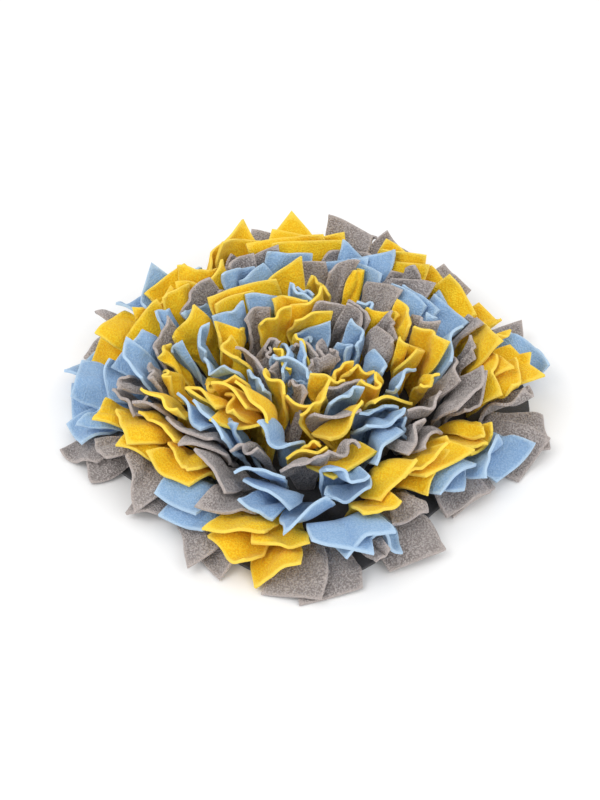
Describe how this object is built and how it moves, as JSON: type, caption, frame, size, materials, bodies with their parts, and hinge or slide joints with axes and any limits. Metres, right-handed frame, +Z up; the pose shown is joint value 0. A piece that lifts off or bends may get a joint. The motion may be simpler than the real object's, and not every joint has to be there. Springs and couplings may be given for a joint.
{
  "type": "snuffle mat",
  "caption": "Round-cornered felt base with rings of square-cut fleece flaps that lie outward at the rim and stand ruffled in the middle.",
  "frame": {"origin": "middle of the base cloth's underside, on the floor", "axes": "+Z up out of the mat, -Y towards the most pointed corner, X to the left and right corners"},
  "size_m": [0.4525, 0.4589, 0.0862],
  "materials": {
    "base_felt": "dark grey felt, matt",
    "yellow_fleece": "yellow fleece, lightly pilled, matt",
    "blue_fleece": "light blue fleece, lightly pilled, matt",
    "grey_fleece": "taupe grey fleece with a curly nap, matt"
  },
  "bodies": {
    "root": {"base_cloth": "base_felt", "rim_blue": "blue_fleece", "rim_grey": "grey_fleece", "rim_yellow": "yellow_fleece", "outer_blue": "blue_fleece", "outer_grey": "grey_fleece", "outer_yellow": "yellow_fleece", "third_blue": "blue_fleece", "third_grey": "grey_fleece", "third_yellow": "yellow_fleece", "fourth_blue": "blue_fleece", "fourth_grey": "grey_fleece", "fourth_yellow": "yellow_fleece", "inner_blue": "blue_fleece", "inner_grey": "grey_fleece", "inner_yellow": "yellow_fleece", "centre_blue": "blue_fleece", "centre_grey": "grey_fleece", "centre_yellow": "yellow_fleece", "heart_blue": "blue_fleece"}
  },
  "joints": []
}
